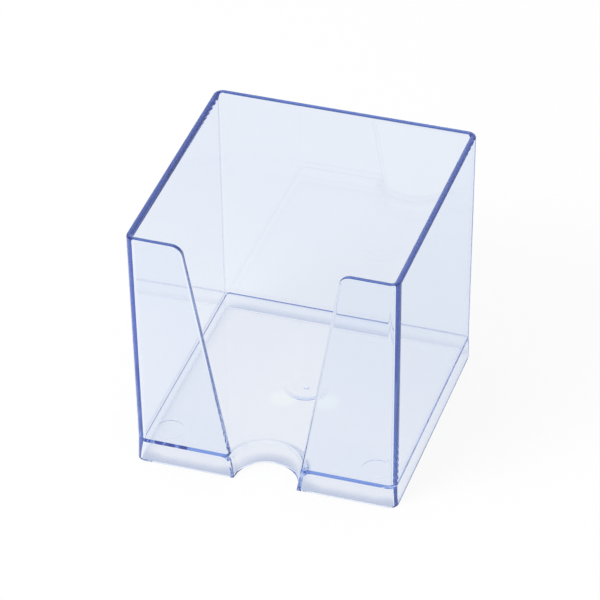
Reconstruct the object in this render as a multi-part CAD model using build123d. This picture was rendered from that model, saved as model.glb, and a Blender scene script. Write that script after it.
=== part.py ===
"""Memo holder: an open box of clear plastic that keeps a stack of square note sheets on a desk.

The holder is one moulding: four drafted walls, a raised floor, a hollow skirt below the floor, and a
V-shaped front opening that runs down into a finger notch. It is modelled zone by zone. All zones take
their faces from the same few outlines, so they meet face to face and together make up the moulding.

The origin is the middle of the footprint, on the desk. Z points up and the front faces -Y.
"""
import os
from build123d import *

# Driving dimensions, in millimetres
sheet_width = 90.0          # side of the square note sheets
sheet_clearance = 0.6       # room beside the sheets, on each side, at the floor
wall = 2.4                  # thickness of the four walls
wall_draft = 1.0            # how far each wall leans outwards between floor and rim
height = 96.7               # from the desk to the rim
floor_rise = 7.4            # clear height of the hollow under the floor
floor_thickness = 1.55
skirt_flare = 0.25          # how far each skirt face leans outwards between floor and desk
skirt_edge = 1.8            # width of the skirt's lower edge, thinner than the wall for draft
outer_corner = 3.5          # radius of the upright outer corners
inner_corner = 1.0          # radius of the upright inner corners
rim_radius = 1.1            # rounding of the rim, inside and outside
edge_radius = 0.4           # rounding of the outer lower edge

opening_at_desk = 23.3      # width of the front opening where it meets the desk
opening_at_rim = 56.7       # width of the front opening where its sides meet the rim
opening_setback = 0.35      # from the front face at the desk back to the axis of the opening
wing_corner = 4.5           # rounding of the upper inner corner of each front wing
notch_wall_thickness = 1.6  # the curved wall that follows the finger notch down to the desk

boss_radius = 9.5           # shallow boss around the injection point, on the underside of the floor
boss_flat_radius = 5.5      # flat middle of that boss
boss_depth = 0.5
stub_radius = 1.1           # trimmed stub at the injection point
stub_length = 0.35
pin_radius = 5.3            # the two round ejector marks in the top of the floor
pin_depth = 0.15
pin_inset = 7.4             # from the walls to the middle of each ejector mark

# Sizes that follow from the driving dimensions
floor_top = floor_rise + floor_thickness
well_at_floor = sheet_width + 2 * sheet_clearance
well_at_rim = well_at_floor + 2 * wall_draft
outer_at_floor = well_at_floor + 2 * wall
outer_at_rim = outer_at_floor + 2 * wall_draft
outer_at_desk = outer_at_floor + 2 * skirt_flare
hollow_at_desk = outer_at_desk - 2 * skirt_edge
opening_axis = opening_setback - outer_at_desk / 2
opening_lean = (opening_at_rim - opening_at_desk) / 2 / height
pin_place = well_at_floor / 2 - pin_inset

UPWARDS = (Align.CENTER, Align.CENTER, Align.MIN)


def opening_half(level):
    """Half the width of the front opening at a level. Its sides are straight from desk to rim."""
    return opening_at_desk / 2 + opening_lean * level


def outline(side, radius, level):
    """A rounded square around the Z axis, at a level."""
    return Plane.XY.offset(level) * RectangleRounded(side, side, radius)


def make_wall_ring():
    """All four walls with their skirt as one closed ring, before the opening is cut."""
    outside = loft(
        [
            outline(outer_at_desk, outer_corner, 0),
            outline(outer_at_floor, outer_corner, floor_top),
            outline(outer_at_rim, outer_corner, height),
        ],
        ruled=True,
    )
    inside = loft(
        [
            outline(hollow_at_desk, inner_corner, 0),
            outline(well_at_floor, inner_corner, floor_rise),
            outline(well_at_floor, inner_corner, floor_top),
            outline(well_at_rim, inner_corner, height),
        ],
        ruled=True,
    )
    ring = outside - inside
    ring = fillet(ring.edges().filter_by_position(Axis.Z, height, height), rim_radius)
    lower_edge = ring.faces().sort_by(Axis.Z)[0].outer_wire()
    return fillet(lower_edge.edges(), edge_radius)


def make_walls(ring):
    """The ring cut along the diagonals of the footprint: front, right, back and left wall."""
    reach = outer_at_rim
    quarter_plan = make_face(Polyline((0, 0), (-reach, -reach), (reach, -reach), close=True))
    quarter = extrude(quarter_plan, height)
    return [ring & (Rot(0, 0, 90 * turn) * quarter) for turn in range(4)]


def make_opening():
    """The cutter for the whole front opening, turned about an upright axis just behind the front face.

    It is a cone that leans with the sides of the opening. Through the front wall it cuts the V, and
    its lower end cuts the finger notch. At the rim it flares to round the shoulders of the wings.
    """
    shoulder = opening_half(height)
    lip = shoulder + 2 * wing_corner
    above = height + wall
    below = -wall
    foot = opening_half(below)
    with BuildSketch(Plane.XZ) as half_section:
        with BuildLine():
            FilletPolyline((foot, below), (shoulder, height), (lip, height), radius=wing_corner)
            Polyline((lip, height), (lip, above), (0, above), (0, below), (foot, below))
        make_face()
    return Pos(0, opening_axis, 0) * revolve(half_section.sketch, Axis.Z)


def make_wings(front_wall, opening):
    """The two wings that the opening leaves of the front wall, left one first."""
    return (front_wall - opening).solids().sort_by(Axis.X)


def make_floor(opening):
    """The raised floor, with the notch, the boss and stub of the injection point, and ejector marks."""
    plate = extrude(outline(well_at_floor, inner_corner, floor_rise), floor_thickness)
    boss_level = floor_rise - boss_depth
    boss = Pos(0, 0, boss_level) * Cone(boss_flat_radius, boss_radius, boss_depth, align=UPWARDS)
    stub = Pos(0, 0, boss_level - stub_length) * Cylinder(stub_radius, stub_length, align=UPWARDS)
    mark = Pos(0, -pin_place, floor_top - pin_depth) * Cylinder(pin_radius, pin_depth, align=UPWARDS)
    marks = [Pos(side * pin_place, 0, 0) * mark for side in (-1, 1)]
    return plate - opening - marks + boss + stub


def make_notch_wall(opening):
    """The curved wall under the floor that follows the notch and joins the two wings."""
    hollow = loft(
        [outline(hollow_at_desk, inner_corner, 0), outline(well_at_floor, inner_corner, floor_rise)],
        ruled=True,
    )
    around_notch = Cone(
        opening_half(0) + notch_wall_thickness,
        opening_half(floor_rise) + notch_wall_thickness,
        floor_rise,
        align=UPWARDS,
    )
    return (hollow & (Pos(0, opening_axis, 0) * around_notch)) - opening


def make_zones():
    """Every zone of the moulding under its own name."""
    opening = make_opening()
    front_wall, right_wall, back_wall, left_wall = make_walls(make_wall_ring())
    front_left_wing, front_right_wing = make_wings(front_wall, opening)
    return {
        "back_wall": back_wall,
        "left_wall": left_wall,
        "right_wall": right_wall,
        "front_left_wing": front_left_wing,
        "front_right_wing": front_right_wing,
        "floor": make_floor(opening),
        "notch_wall": make_notch_wall(opening),
    }


os.makedirs("parts", exist_ok=True)
for name, zone in make_zones().items():
    export_step(zone, f"parts/{name}.step")
    print(f"{name}: {zone.volume / 1000:.2f} cm3")
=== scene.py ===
# %% [markdown]
# # A clear memo holder
#
# An open box of clear, faintly blue plastic keeps a stack of note sheets on a desk. The front has a
# V-shaped opening that runs down into a finger notch, so that the last sheet can still be lifted out.
# The frame of the CAD part is loaded first, because every size in this lesson hangs on it. The box around
# the CAD solids is measured as well.

# %% Load the frame and read the main sizes
import math
import bmesh
import bpy
from mathutils import Matrix, Vector


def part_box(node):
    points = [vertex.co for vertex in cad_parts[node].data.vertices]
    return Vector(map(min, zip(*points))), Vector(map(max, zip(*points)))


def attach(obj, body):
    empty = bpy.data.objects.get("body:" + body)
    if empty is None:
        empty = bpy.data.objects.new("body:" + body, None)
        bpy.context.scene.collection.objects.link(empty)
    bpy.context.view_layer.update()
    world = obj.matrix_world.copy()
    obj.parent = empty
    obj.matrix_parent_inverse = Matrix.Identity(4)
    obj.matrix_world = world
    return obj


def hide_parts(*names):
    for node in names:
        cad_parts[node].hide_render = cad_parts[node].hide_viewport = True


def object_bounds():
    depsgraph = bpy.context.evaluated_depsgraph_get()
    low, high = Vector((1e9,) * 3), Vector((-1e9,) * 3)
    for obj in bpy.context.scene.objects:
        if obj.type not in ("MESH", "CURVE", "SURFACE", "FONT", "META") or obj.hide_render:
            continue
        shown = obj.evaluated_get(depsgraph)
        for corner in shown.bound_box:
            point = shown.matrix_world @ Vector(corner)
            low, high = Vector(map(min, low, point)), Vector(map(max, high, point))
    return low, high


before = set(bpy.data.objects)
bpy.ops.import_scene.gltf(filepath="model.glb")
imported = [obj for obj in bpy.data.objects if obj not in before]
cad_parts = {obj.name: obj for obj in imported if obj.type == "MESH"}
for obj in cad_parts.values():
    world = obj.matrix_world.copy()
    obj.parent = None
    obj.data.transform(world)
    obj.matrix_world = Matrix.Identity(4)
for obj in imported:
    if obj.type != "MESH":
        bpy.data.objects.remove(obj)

MM = 0.001
BOSS_DEPTH = 0.5*MM
STUB_LENGTH = 0.35*MM
scene = bpy.context.scene
cad_low, cad_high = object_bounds()
floor_low, floor_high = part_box("floor")
rim = cad_high.z
floor_top = floor_high.z
underside = floor_low.z + STUB_LENGTH + BOSS_DEPTH
well_half = floor_high.x
print(f"rim {rim/MM:.2f} mm, floor from {underside/MM:.2f} to {floor_top/MM:.2f} mm, "
      f"well half {well_half/MM:.2f} mm")

# %% [markdown]
# The real box is one injection moulding. Clear plastic shows every face inside it, so separate pieces
# that touch would show their seams as dark lines. The visual is therefore one closed mesh, carved from a
# block in the way the mould shapes it: a block, a well from above, a hollow from below, an opening.
# Walls of a moulding lean by a degree or so, so that it slips off the steel. That lean is called draft.
# At the rim the outside is trimmed by a hair. Its rounding will be narrower than that of the CAD solids,
# and the mesh has to stay inside their box.

# %% Sizes of the moulding
WALL = 2.4*MM
DRAFT = 1.0*MM
SKIRT_FLARE = 0.25*MM
SKIRT_EDGE = 1.8*MM
OUTER_CORNER = 3.5*MM
INNER_CORNER = 1.0*MM
RIM_TRIM = 0.005*MM
BEYOND = 3.0*MM

outer_at_floor = well_half + WALL
outer_at_desk = outer_at_floor + SKIRT_FLARE
outer_at_rim = outer_at_floor + DRAFT - RIM_TRIM
hollow_at_desk = outer_at_desk - SKIRT_EDGE
print(f"half width at desk {outer_at_desk/MM:.2f}, floor {outer_at_floor/MM:.2f}, "
      f"rim {outer_at_rim/MM:.2f} mm")

# %% [markdown]
# All blocks here are made in one way. A flat section is pulled up level by level, and at each level it is
# scaled about an upright axis. A square section with draft gives the block, the well and the hollow.

# %% Helpers that pull a section up
CENTRE = Vector((0, 0, 0))
ROUND_PROFILE = 0.5


def sloped(level, low, high):
    """Size at a level on the straight line through two (level, size) pairs."""
    return low[1] + (high[1] - low[1])*(level - low[0])/(high[0] - low[0])


def raise_section(bm, faces, levels, axis):
    """Pulls a flat section up through (level, size) pairs and scales it about an upright axis."""
    level, size = levels[0]
    for next_level, next_size in levels[1:]:
        edges = {edge for face in faces for edge in face.edges}
        made = bmesh.ops.extrude_face_region(bm, geom=[*faces, *edges])["geom"]
        faces = [item for item in made if isinstance(item, bmesh.types.BMFace)]
        verts = list({vert for face in faces for vert in face.verts})
        ratio = next_size/size
        bmesh.ops.translate(bm, verts=verts, vec=(0, 0, next_level - level))
        bmesh.ops.scale(bm, verts=verts, vec=(ratio, ratio, 1), space=Matrix.Translation(-axis))
        level, size = next_level, next_size


def make_object(name, bm):
    """Turns a finished bmesh into a mesh object at the origin."""
    bmesh.ops.recalc_face_normals(bm, faces=bm.faces)
    mesh = bpy.data.meshes.new(name)
    bm.to_mesh(mesh)
    bm.free()
    piece = bpy.data.objects.new(name, mesh)
    scene.collection.objects.link(piece)
    return piece


# %% [markdown]
# The block has a kink at floor level: above it the walls lean outwards to the rim, and below it the skirt
# leans outwards to the desk. The two inner blocks are cutters, so they reach beyond the faces they open.

# %% The block, the well and the hollow
CORNER_STEPS = 8
UPRIGHT_RISE = 0.1*MM


def square_block(name, levels, corner):
    """A square block through (level, half side) pairs, with rounded upright corners."""
    bm = bmesh.new()
    level, half = levels[0]
    bmesh.ops.create_grid(bm, x_segments=1, y_segments=1, size=half,
                          matrix=Matrix.Translation((0, 0, level)))
    raise_section(bm, list(bm.faces), levels, CENTRE)
    upright = [edge for edge in bm.edges
               if abs(edge.verts[0].co.z - edge.verts[1].co.z) > UPRIGHT_RISE]
    bmesh.ops.bevel(bm, geom=upright, offset=corner, offset_type="OFFSET", affect="EDGES",
                    segments=CORNER_STEPS, profile=ROUND_PROFILE, material=-1)
    return make_object(name, bm)


well_low, well_high = (floor_top, well_half), (rim, well_half + DRAFT)
hollow_low, hollow_high = (0, hollow_at_desk), (underside, well_half)
well_end = (rim + BEYOND, sloped(rim + BEYOND, well_low, well_high))
hollow_end = (-BEYOND, sloped(-BEYOND, hollow_low, hollow_high))
holder = square_block("memo_holder", [(0, outer_at_desk), (floor_top, outer_at_floor), (rim, outer_at_rim)],
                      OUTER_CORNER)
well = square_block("well", [well_low, well_end], INNER_CORNER)
hollow = square_block("hollow", [hollow_end, hollow_high], INNER_CORNER)
print("faces of block, well and hollow:", [len(piece.data.polygons) for piece in (holder, well, hollow)])

# %% [markdown]
# The front opening is one cutter too. Its section is round where it cuts the floor, and flat where it cuts
# the front wall, so the wings get flat ends. Every level is the same section, made wider about one upright
# axis near the front face, so all of its faces stay flat. Close to the rim it flares along an arc, and that
# rounds the shoulders of the wings.

# %% The levels of the opening
HALF_AT_DESK = 11.65*MM
HALF_AT_RIM = 28.35*MM
OPENING_SETBACK = 0.35*MM
SHOULDER_RADIUS = 4.5*MM
SHOULDER_STEPS = 10
notch_axis = Vector((0, OPENING_SETBACK - outer_at_desk, 0))


def opening_half(level):
    """Half the width of the opening at a level, beside its axis."""
    return sloped(level, (0, HALF_AT_DESK), (rim, HALF_AT_RIM))


def opening_levels():
    """The (level, half width) pairs of the opening, with the arc of its shoulders."""
    lean = math.atan2(HALF_AT_RIM - HALF_AT_DESK, rim)
    arc_level = rim - SHOULDER_RADIUS
    arc_half = opening_half(arc_level) + SHOULDER_RADIUS/math.cos(lean)
    turns = [sloped(step, (0, lean), (SHOULDER_STEPS, math.pi/2)) for step in range(SHOULDER_STEPS + 1)]
    arc = [(arc_level + SHOULDER_RADIUS*math.sin(turn), arc_half - SHOULDER_RADIUS*math.cos(turn))
           for turn in turns]
    return [(-BEYOND, opening_half(-BEYOND)), *arc, (rim + BEYOND, arc_half)]


print("half width at desk, floor and rim:",
      [round(opening_half(level)/MM, 2) for level in (0, floor_top, rim)])

# %% [markdown]
# A circle gives the round part of the section. A plane cuts its front away, and the cut edge is pulled
# forwards and widened, so that the sides run straight on. A second, wider cutter of the same kind takes a
# bite out of the hollow. What it leaves standing becomes the thin wall that follows the notch to the desk.

# %% The cutters for the opening and the notch wall
NOTCH_WALL = 1.6*MM
NOTCH_STEPS = 144
# How far behind the axis the flat sides begin, in depths of the wall
FLAT_DEPTHS, AROUND_FLAT_DEPTHS = 1.4, 1.5
wall_depth = outer_at_desk - well_half


def notch_cutter(name, levels, flat):
    """A cutter about the notch axis, round behind, with sides that run flat to the front from a depth."""
    bm = bmesh.new()
    level, radius = levels[0]
    bmesh.ops.create_circle(bm, cap_ends=True, segments=NOTCH_STEPS, radius=radius,
                            matrix=Matrix.Translation(notch_axis + Vector((0, 0, level))))
    cut = bmesh.ops.bisect_plane(bm, geom=[*bm.verts, *bm.edges, *bm.faces], clear_inner=True,
                                 plane_co=notch_axis + Vector((0, flat, 0)), plane_no=(0, 1, 0))["geom_cut"]
    chord = [item for item in cut if isinstance(item, bmesh.types.BMEdge)]
    front = bmesh.ops.extrude_edge_only(bm, edges=chord)["geom"]
    verts = [item for item in front if isinstance(item, bmesh.types.BMVert)]
    chord_half = math.sqrt(radius**2 - flat**2)
    forward = flat + WALL
    widen = 1 + (radius - chord_half)/chord_half*forward/flat
    bmesh.ops.translate(bm, verts=verts, vec=(0, -forward, 0))
    bmesh.ops.scale(bm, verts=verts, vec=(widen, 1, 1))
    raise_section(bm, list(bm.faces), levels, notch_axis)
    return make_object(name, bm)


flat_share = FLAT_DEPTHS*wall_depth/opening_half(floor_top)
opening = notch_cutter("opening", opening_levels(), flat_share*opening_half(-BEYOND))
around_levels = [(level, opening_half(level) + NOTCH_WALL) for level in (-2*BEYOND, underside + BEYOND)]
around_notch = notch_cutter("around_notch", around_levels, AROUND_FLAT_DEPTHS*wall_depth)
print("faces of the cutters:", len(opening.data.polygons), len(around_notch.data.polygons))

# %% [markdown]
# Now the block is carved. Each cut is a Boolean modifier that is applied at once, so that the next step
# works on plain faces. The hollow loses its bite first, and then the block loses hollow, well and opening.

# %% Carve the block
def apply_modifiers(piece):
    """Makes what the modifiers of a piece show its plain mesh."""
    graph = bpy.context.evaluated_depsgraph_get()
    shown = bpy.data.meshes.new_from_object(piece.evaluated_get(graph))
    piece.modifiers.clear()
    piece.data = shown


def carve(piece, cutter, operation="DIFFERENCE"):
    """Cuts a piece with a cutter, or joins the two. The cutter is used up."""
    boolean = piece.modifiers.new("carve", "BOOLEAN")
    boolean.object = cutter
    boolean.operation = operation
    boolean.solver = "MANIFOLD"
    apply_modifiers(piece)
    bpy.data.objects.remove(cutter)


carve(hollow, around_notch)
for cutter in (hollow, well, opening):
    carve(holder, cutter)
print("carved holder:", len(holder.data.polygons), "faces")

# %% [markdown]
# A moulding has no knife edges. How an edge is rounded decides how clear plastic looks there. Light that
# enters a flat rim is trapped between the two faces of the wall, runs the length of it and comes out deep
# blue. Light that enters a rounding passes straight through. So the rim and the V have wide roundings,
# inside more than outside, that leave a narrow blue band. The lip of the notch has a narrow rounding, which
# shows as a thin line. Below it the floor bends softly into the notch wall, and the fold where floor and
# walls meet stays almost sharp.

# %% Helpers that find and round edges
INNER_RADIUS = 1.45*MM
OUTER_RADIUS = 0.85*MM
LIP_RADIUS = 0.3*MM
BEND_RADIUS = 2.6*MM
FOLD_RADIUS = 0.12*MM
FOOT_RADIUS = 0.35*MM
CRISP_RADIUS = 0.08*MM
CREASE = math.radians(35)
HAIR = 0.01*MM


def round_edges(bm, edges, radius, segments):
    """Rounds a set of edges in one go."""
    bmesh.ops.bevel(bm, geom=edges, offset=radius, offset_type="OFFSET", affect="EDGES",
                    segments=segments, profile=ROUND_PROFILE, material=-1, clamp_overlap=False)


def creases(bm, convex):
    """The sharp edges that stick out, or those that fold in."""
    sharp = [edge for edge in bm.edges if edge.calc_face_angle() > CREASE]
    return [edge for edge in sharp if (edge.calc_face_angle_signed() > 0) == convex]


def middle(edge):
    """The middle of an edge."""
    return (edge.verts[0].co + edge.verts[1].co)/2


def at_level(edge, level):
    """Whether an edge lies flat at a level."""
    return all(abs(vert.co.z - level) < HAIR for vert in edge.verts)


# %% [markdown]
# The order matters. Edges that fold in are rounded first, while the faces beside them are still simple.

# %% Round the edges that fold in
BEND_STEPS, FOLD_STEPS = 8, 3
SAME_PLACE = 0.002*MM

bm = bmesh.new()
bm.from_mesh(holder.data)
weight = bm.edges.layers.float.new("bevel_weight_edge")
bmesh.ops.remove_doubles(bm, verts=bm.verts, dist=SAME_PLACE)
bmesh.ops.dissolve_degenerate(bm, edges=bm.edges, dist=SAME_PLACE)
bend = [edge for edge in creases(bm, False) if at_level(edge, underside)
        and (middle(edge) - notch_axis).to_2d().length < opening_half(underside) + 2*NOTCH_WALL]
round_edges(bm, bend, BEND_RADIUS, BEND_STEPS)
fold = [edge for edge in creases(bm, False) if at_level(edge, floor_top)]
round_edges(bm, fold, FOLD_RADIUS, FOLD_STEPS)
print("rounded edges: bend", len(bend), "fold", len(fold))

# %% [markdown]
# The wide roundings of rim and V follow, and the lip of the notch and each foot of the V get narrower ones.
# A bevel modifier does them all at once, because it takes a weight from every edge and joins the widths
# neatly. The small edges below the floor come last.

# %% Round the rim, the V and the small edges
SOFT_STEPS, CRISP_STEPS = 10, 3
ABOVE_DESK, BEHIND_FRONT = 0.1*MM, 0.6*MM

soft = [edge for edge in creases(bm, True) if middle(edge).z > floor_top - HAIR]
outer = [edge for edge in soft
         if max(abs(middle(edge).x), abs(middle(edge).y)) > well_half + (DRAFT + WALL)/2]
lip = [edge for edge in soft if middle(edge).z < floor_top + FOLD_RADIUS]
foot = [edge for edge in creases(bm, True) if ABOVE_DESK < middle(edge).z < floor_top - HAIR
        and middle(edge).y < BEHIND_FRONT - outer_at_desk]
for edges, radius in ((soft, INNER_RADIUS), (outer, OUTER_RADIUS), (lip, LIP_RADIUS), (foot, FOOT_RADIUS)):
    for edge in edges:
        edge[weight] = radius/INNER_RADIUS
print("rounded edges: soft", len(soft), "outer", len(outer), "lip", len(lip), "foot", len(foot))
bm.to_mesh(holder.data)
bm.free()
bevel = holder.modifiers.new("bevel", "BEVEL")
bevel.limit_method = "WEIGHT"
bevel.width = INNER_RADIUS
bevel.segments = SOFT_STEPS
bevel.use_clamp_overlap = False
bevel.loop_slide = False
apply_modifiers(holder)

bm = bmesh.new()
bm.from_mesh(holder.data)
crisp = [edge for edge in creases(bm, True) + creases(bm, False)
         if middle(edge).z < floor_top - 2*LIP_RADIUS]
round_edges(bm, crisp, CRISP_RADIUS, CRISP_STEPS)
bmesh.ops.remove_doubles(bm, verts=bm.verts, dist=SAME_PLACE/2)
bm.to_mesh(holder.data)
print("rounded edges: crisp", len(crisp))
bm.free()

# %% [markdown]
# Molten plastic enters the mould in the middle of the floor. It leaves a shallow round boss on the
# underside with a trimmed stub on it, and the side of the boss swings out smoothly. Two ejector pins push
# the moulding out. Their ends leave round marks in the floor, too shallow to feel but easy to see in clear
# plastic.

# %% Boss, stub and ejector marks
BOSS_RADIUS = 9.5*MM
BOSS_FLAT_RADIUS = 5.5*MM
BOSS_STEPS = 8
BOSS_OVERLAP = 0.05*MM
STUB_RADIUS = 1.1*MM
PIN_RADIUS = 5.3*MM
PIN_DEPTH = 0.15*MM
PIN_INSET = 7.4*MM
ROUND_STEPS = 96


def round_block(name, place, levels):
    """A round block on an upright axis through (level, radius) pairs."""
    bm = bmesh.new()
    level, radius = levels[0]
    bmesh.ops.create_circle(bm, cap_ends=True, segments=ROUND_STEPS, radius=radius,
                            matrix=Matrix.Translation(place + Vector((0, 0, level))))
    raise_section(bm, list(bm.faces), levels, place)
    return make_object(name, bm)


def boss_levels():
    """The (level, radius) pairs of the boss: its stub, its flat and a side that swings out like a wave."""
    flat = underside - BOSS_DEPTH
    stub = [(flat - STUB_LENGTH, STUB_RADIUS), (flat, STUB_RADIUS)]
    shares = [step/BOSS_STEPS for step in range(BOSS_STEPS + 1)]
    side = [(flat + (BOSS_DEPTH + BOSS_OVERLAP)*share**2*(3 - 2*share),
             sloped(share, (0, BOSS_FLAT_RADIUS), (1, BOSS_RADIUS))) for share in shares]
    return [*stub, *side, ((underside + floor_top)/2, BOSS_RADIUS)]


carve(holder, round_block("boss", CENTRE, boss_levels()), "UNION")
for side in (-1, 1):
    place = Vector((side*(well_half - PIN_INSET), PIN_INSET - well_half, 0))
    carve(holder, round_block("pin", place, [(floor_top - PIN_DEPTH, PIN_RADIUS),
                                             (floor_top + BEYOND, PIN_RADIUS)]))
print("with boss and marks:", len(holder.data.polygons), "faces")

# %% [markdown]
# Smooth shading would smear the roundings over the large flat faces. A weighted normal modifier lets the
# large faces decide, so they stay flat and only the roundings turn. Edges that are still sharp are marked,
# and so is the kink of the walls at floor level.

# %% Smooth shading
FACE_WEIGHT = 100

bm = bmesh.new()
bm.from_mesh(holder.data)
bmesh.ops.remove_doubles(bm, verts=bm.verts, dist=SAME_PLACE/2)
bmesh.ops.recalc_face_normals(bm, faces=bm.faces)
for face in bm.faces:
    face.smooth = True
for edge in bm.edges:
    outside = all(max(abs(vert.co.x), abs(vert.co.y)) > well_half + WALL/2 for vert in edge.verts)
    at_kink = outside and at_level(edge, floor_top)
    edge.smooth = not (at_kink or edge.calc_face_angle(0) > CREASE)
print(f"volume {bm.calc_volume()*1e6:.2f} cm3, "
      f"open edges {sum(not edge.is_manifold for edge in bm.edges)}, "
      f"sharp edges {sum(not edge.smooth for edge in bm.edges)}")
bm.to_mesh(holder.data)
bm.free()
weighted = holder.modifiers.new("weighted", "WEIGHTED_NORMAL")
weighted.keep_sharp = True
weighted.weight = FACE_WEIGHT

# %% [markdown]
# Even polished plastic is never quite even. The colour drifts by a hair where the melt flowed, handling
# leaves a faint haze, and the surface is a little wavy. One node group puts out these three, so that any
# material can share them. It reads object coordinates, which stay with the holder when it is moved.

# %% A node group for the moulded surface
PALE_TINT, DEEP_TINT = (0.966, 0.977, 0.994, 1), (0.954, 0.969, 0.992, 1)
FLOW_SCALE, HAZE_SCALE, WAVE_SCALE = 35, 260, 70
HAZE_LOW, HAZE_HIGH = 0.0, 0.03


def map_range(tree, source, low, high):
    """Turns a value from 0 to 1 into one from low to high."""
    node = tree.nodes.new("ShaderNodeMapRange")
    node.inputs["To Min"].default_value = low
    node.inputs["To Max"].default_value = high
    tree.links.new(source, node.inputs["Value"])
    return node.outputs["Result"]


def mix_colours(tree, factor, low, high):
    """Mixes two colours. Each one is given as a colour or as the output of a node."""
    node = tree.nodes.new("ShaderNodeMix")
    node.data_type = "RGBA"
    tree.links.new(factor, node.inputs[0])
    # A mix node takes its two colours at inputs 6 and 7 and gives the mixed one at output 2
    for colour, socket in ((low, node.inputs[6]), (high, node.inputs[7])):
        if isinstance(colour, bpy.types.NodeSocket):
            tree.links.new(colour, socket)
        else:
            socket.default_value = colour
    return node.outputs[2]


def noise(tree, scale):
    """Soft noise in object coordinates, as a value from 0 to 1."""
    place = tree.nodes.new("ShaderNodeTexCoord")
    node = tree.nodes.new("ShaderNodeTexNoise")
    node.inputs["Scale"].default_value = scale
    tree.links.new(place.outputs["Object"], node.inputs["Vector"])
    return node.outputs["Fac"]


surface = bpy.data.node_groups.new("moulded_surface", "ShaderNodeTree")
for name, kind in (("Tint", "NodeSocketColor"), ("Haze", "NodeSocketFloat"), ("Waves", "NodeSocketFloat")):
    surface.interface.new_socket(name, in_out="OUTPUT", socket_type=kind)
result = surface.nodes.new("NodeGroupOutput")
tint = mix_colours(surface, noise(surface, FLOW_SCALE), DEEP_TINT, PALE_TINT)
haze = map_range(surface, noise(surface, HAZE_SCALE), HAZE_LOW, HAZE_HIGH)
waves = noise(surface, WAVE_SCALE)
for name, value in (("Tint", tint), ("Haze", haze), ("Waves", waves)):
    surface.links.new(value, result.inputs[name])
print("group outputs:", [socket.name for socket in result.inputs if socket.name])

# %% [markdown]
# The plastic is clear polystyrene, which bends light more than glass does. Two things colour it. The base
# colour tints what is seen straight through a wall. Volume absorption takes away red and some green with
# every millimetre, so it hardly shows through a wall but turns the long paths inside rims and edges blue.

# %% Clear blue plastic
REFRACTION = 1.59
WAVE_HEIGHT = 0.004*MM
ABSORBED = (0.28, 0.50, 0.88, 1)
ABSORBED_PER_METRE = 22.0

plastic = bpy.data.materials.new("clear_blue_plastic")
plastic.use_nodes = True
tree = plastic.node_tree
shader = tree.nodes["Principled BSDF"]
shader.inputs["IOR"].default_value = REFRACTION
shader.inputs["Transmission Weight"].default_value = 1.0
moulded = tree.nodes.new("ShaderNodeGroup")
moulded.node_tree = surface
bump = tree.nodes.new("ShaderNodeBump")
bump.inputs["Distance"].default_value = WAVE_HEIGHT
tree.links.new(moulded.outputs["Waves"], bump.inputs["Height"])
tree.links.new(moulded.outputs["Tint"], shader.inputs["Base Color"])
tree.links.new(moulded.outputs["Haze"], shader.inputs["Roughness"])
tree.links.new(bump.outputs["Normal"], shader.inputs["Normal"])
absorption = tree.nodes.new("ShaderNodeVolumeAbsorption")
absorption.inputs["Color"].default_value = ABSORBED
absorption.inputs["Density"].default_value = ABSORBED_PER_METRE
tree.links.new(absorption.outputs["Volume"], tree.nodes["Material Output"].inputs["Volume"])
holder.data.materials.clear()
holder.data.materials.append(plastic)
print("material:", plastic.name, "with", len(tree.nodes), "nodes")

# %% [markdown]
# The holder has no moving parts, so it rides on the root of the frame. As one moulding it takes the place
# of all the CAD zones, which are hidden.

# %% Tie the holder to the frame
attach(holder, "root")
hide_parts("back_wall", "left_wall", "right_wall", "front_left_wing", "front_right_wing", "floor",
            "notch_wall")
print("holder rides on root and replaces 7 zones")

# %% [markdown]
# The holder stands on a plain white floor without an end. Rays that come straight from the camera see it
# white. Rays that come by way of the plastic see its shades: the floor gets dimmer away from the lamp, and
# under the holder it is bluer, because the light there has passed the plastic. Close to the skirt a band is
# darker. Right under the edge that the holder stands on there is hardly any light, and that draws the lines
# where floor and walls meet. Ambient occlusion nodes measure this, each with its own reach and side.

# %% Helpers for the shades of the floor
SHADE_SAMPLES = 6


def spread(tree, source, low, high):
    """Turns a value from low to high into one from 0 to 1."""
    node = tree.nodes.new("ShaderNodeMapRange")
    node.interpolation_type = "SMOOTHSTEP"
    node.inputs["From Min"].default_value = low
    node.inputs["From Max"].default_value = high
    tree.links.new(source, node.inputs["Value"])
    return node.outputs["Result"]


def openness(tree, reach, side):
    """How open the floor is to the light from one side within a reach, from 0 (shaded) to 1 (open)."""
    normal = tree.nodes.new("ShaderNodeCombineXYZ")
    for value, socket in zip(side.normalized(), normal.inputs):
        socket.default_value = value
    node = tree.nodes.new("ShaderNodeAmbientOcclusion")
    node.samples = SHADE_SAMPLES
    node.inputs["Distance"].default_value = reach
    tree.links.new(normal.outputs["Vector"], node.inputs["Normal"])
    return node.outputs["AO"]


def measured(tree, operation, vector):
    """The dot product of a place on the floor with a vector, or its distance from it."""
    place = tree.nodes.new("ShaderNodeTexCoord")
    node = tree.nodes.new("ShaderNodeVectorMath")
    node.operation = operation
    node.inputs[1].default_value = vector
    tree.links.new(place.outputs["Object"], node.inputs[0])
    return node.outputs["Value"]


def picture_rays(tree):
    """A value that is 1 for rays from the camera, straight or by way of the plastic."""
    path = tree.nodes.new("ShaderNodeLightPath")
    value = path.outputs["Is Camera Ray"]
    for name in ("Is Glossy Ray", "Is Transmission Ray"):
        both = tree.nodes.new("ShaderNodeMath")
        both.operation = "MAXIMUM"
        tree.links.new(value, both.inputs[0])
        tree.links.new(path.outputs[name], both.inputs[1])
        value = both.outputs[0]
    return value
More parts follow.
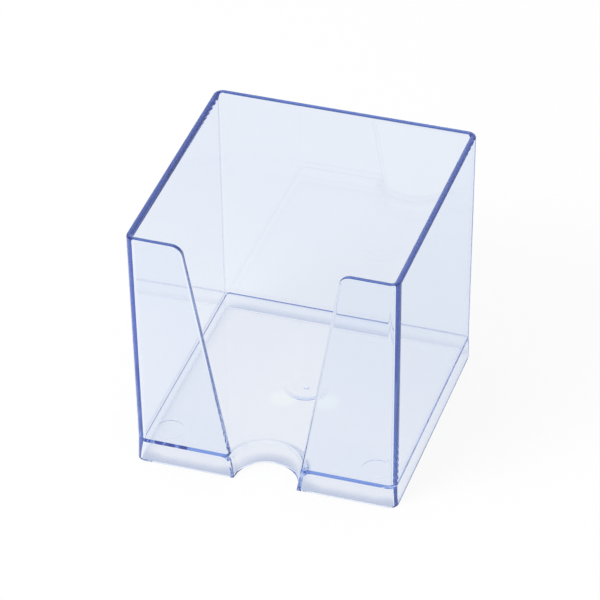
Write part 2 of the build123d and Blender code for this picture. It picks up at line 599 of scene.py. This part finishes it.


# %% [markdown]
# The shades are laid over each other, the widest first and the strip under the edge last. Two of them are
# painted spots of light. They stand in for the light that the boss under the floor, working as a lens,
# gathers to its left and right.

# %% The shades of the floor
WHITE = (1, 1, 1, 1)
NEAR_WHITE, FAR_WHITE = (0.985, 0.990, 1.0, 1), (0.860, 0.895, 0.955, 1)
DIM_SIDE, DIM_FROM, DIM_TO = (-0.6, -0.8, 0), -70*MM, 40*MM
BELOW_WHITE = (0.833, 0.864, 0.965, 1)
BELOW_REACH, BELOW_SIDE, BELOW_OPEN = 30*MM, Vector((-0.5, -0.6, 0.6)), 0.5
SKIRT_SHADE = (0.50, 0.57, 0.74, 1)
SKIRT_REACH, SKIRT_SIDE, SKIRT_DARK, SKIRT_OPEN = 7*MM, Vector((0, -0.85, 0.5)), 0.3, 0.75
EDGE_SHADE = (0.20, 0.27, 0.48, 1)
EDGE_REACH, EDGE_SIDE = 0.15*MM, Vector((0, 0, 1))
PAINTED_LIGHT_SPOTS = ((-9.0*MM, -0.2*MM, 0), (6.6*MM, 3.4*MM, 0))
SPOT_CORE, SPOT_RADIUS = 2.5*MM, 6.5*MM
PAINTED_SPOT_LIGHT = (0.96, 1.0, 1.0, 1)

white = bpy.data.materials.new("white_floor")
white.use_nodes = True
tree = white.node_tree
shade = mix_colours(tree, spread(tree, measured(tree, "DOT_PRODUCT", DIM_SIDE), DIM_FROM, DIM_TO),
                    FAR_WHITE, NEAR_WHITE)
shade = mix_colours(tree, spread(tree, openness(tree, BELOW_REACH, BELOW_SIDE), 0, BELOW_OPEN),
                    BELOW_WHITE, shade)
# Painted light: two soft white spots are put into the floor's colour beside the boss
for spot in PAINTED_LIGHT_SPOTS:
    shade = mix_colours(tree, spread(tree, measured(tree, "DISTANCE", spot), SPOT_CORE, SPOT_RADIUS),
                        PAINTED_SPOT_LIGHT, shade)
shade = mix_colours(tree, spread(tree, openness(tree, SKIRT_REACH, SKIRT_SIDE), SKIRT_DARK, SKIRT_OPEN),
                    SKIRT_SHADE, shade)
shade = mix_colours(tree, openness(tree, EDGE_REACH, EDGE_SIDE), EDGE_SHADE, shade)
print("shades of the floor:", len(tree.nodes), "nodes")

# %% [markdown]
# The floor itself is one large square a hair below the holder. Around the holder a small share of it is
# lit like any other surface, and that share keeps the shadow. Further away it turns plain white like the
# sky, so that no horizon shows.

# %% White floor
FLOOR_HALF = 6.0
FLOOR_GAP = 0.06*MM
WHITE_SHARE = 0.9
SHADOW_REACH, PLAIN_FROM = 0.3, 1.5
FLOOR_GREY = (0.9, 0.9, 0.9, 1)

bm = bmesh.new()
bmesh.ops.create_grid(bm, x_segments=1, y_segments=1, size=FLOOR_HALF,
                      matrix=Matrix.Translation((0, 0, -FLOOR_GAP)))
ground = make_object("ground", bm)
lit = tree.nodes["Principled BSDF"]
lit.inputs["Base Color"].default_value = FLOOR_GREY
lit.inputs["Roughness"].default_value = 1.0
lit.inputs["Specular IOR Level"].default_value = 0.0
straight = tree.nodes.new("ShaderNodeLightPath").outputs["Is Camera Ray"]
glow = tree.nodes.new("ShaderNodeEmission")
tree.links.new(mix_colours(tree, straight, shade, WHITE), glow.inputs["Color"])
far = spread(tree, measured(tree, "DISTANCE", CENTRE), SHADOW_REACH, PLAIN_FROM)
share = tree.nodes.new("ShaderNodeMath")
share.operation = "MULTIPLY"
tree.links.new(picture_rays(tree), share.inputs[0])
tree.links.new(map_range(tree, far, WHITE_SHARE, 1.0), share.inputs[1])
blend = tree.nodes.new("ShaderNodeMixShader")
tree.links.new(share.outputs[0], blend.inputs["Fac"])
tree.links.new(lit.outputs[0], blend.inputs[1])
tree.links.new(glow.outputs[0], blend.inputs[2])
tree.links.new(blend.outputs[0], tree.nodes["Material Output"].inputs["Surface"])
ground.data.materials.append(white)
print("floor of", 2*FLOOR_HALF, "m with", len(tree.nodes), "nodes")

# %% [markdown]
# The light is that of a plain studio. A pale sky lights everything evenly, and one soft lamp at the front
# left gives the shadow its side. Seen in or through the plastic, the sky is white like the floor. The lamp
# itself stays out of the reflections, so that no hard spot sits on the plastic.

# %% Studio light
SKY_LIGHT = 0.7
LAMP_PLACE = (-0.7, -1.0, 1.2)
LAMP_SIZE = 0.8
LAMP_WATTS = 20.0

sky = bpy.data.worlds.new("studio")
scene.world = sky
sky.use_nodes = True
dome = sky.node_tree.nodes["Background"]
dome.inputs["Color"].default_value = WHITE
sky.node_tree.links.new(map_range(sky.node_tree, picture_rays(sky.node_tree), SKY_LIGHT, 1.0),
                        dome.inputs["Strength"])
light = bpy.data.lights.new("key", "AREA")
light.size = LAMP_SIZE
light.energy = LAMP_WATTS
lamp = bpy.data.objects.new("key", light)
lamp.location = LAMP_PLACE
lamp.rotation_euler = (-Vector(LAMP_PLACE)).to_track_quat("-Z", "Y").to_euler()
lamp.visible_glossy = False
lamp.visible_transmission = False
scene.collection.objects.link(lamp)

# %% [markdown]
# The camera stands to the right of the front and looks down. A long lens from far away keeps the upright
# edges nearly parallel. Clear plastic needs many bounces, because light in a rim is reflected dozens of
# times before it leaves.

# %% Camera and view
TARGET = Vector((0, 0, 49*MM))
AZIMUTH, ELEVATION, ROLL = math.radians(18.334), math.radians(36.087), math.radians(-0.702)
DISTANCE = 1349.092*MM
LENS, SENSOR = 228.356, 36
SHIFT_RIGHT, SHIFT_UP = 1.938*MM, 1.818*MM
BOUNCES = 64

backwards = Vector((math.sin(AZIMUTH)*math.cos(ELEVATION), -math.cos(AZIMUTH)*math.cos(ELEVATION),
                    math.sin(ELEVATION)))
level_right = Vector((math.cos(AZIMUTH), math.sin(AZIMUTH), 0))
right = math.cos(ROLL)*level_right + math.sin(ROLL)*backwards.cross(level_right)
up = backwards.cross(right)
eye = TARGET + DISTANCE*backwards - SHIFT_RIGHT*right - SHIFT_UP*up
optics = bpy.data.cameras.new("camera")
optics.sensor_width = SENSOR
optics.lens = LENS
camera = bpy.data.objects.new("camera", optics)
camera.matrix_world = Matrix.Translation(eye) @ Matrix((right, up, backwards)).transposed().to_4x4()
scene.collection.objects.link(camera)
scene.camera = camera
scene.view_settings.view_transform = "Standard"
scene.cycles.max_bounces = BOUNCES
scene.cycles.transmission_bounces = BOUNCES
scene.cycles.glossy_bounces = BOUNCES
print("camera at", [round(value, 3) for value in camera.location])
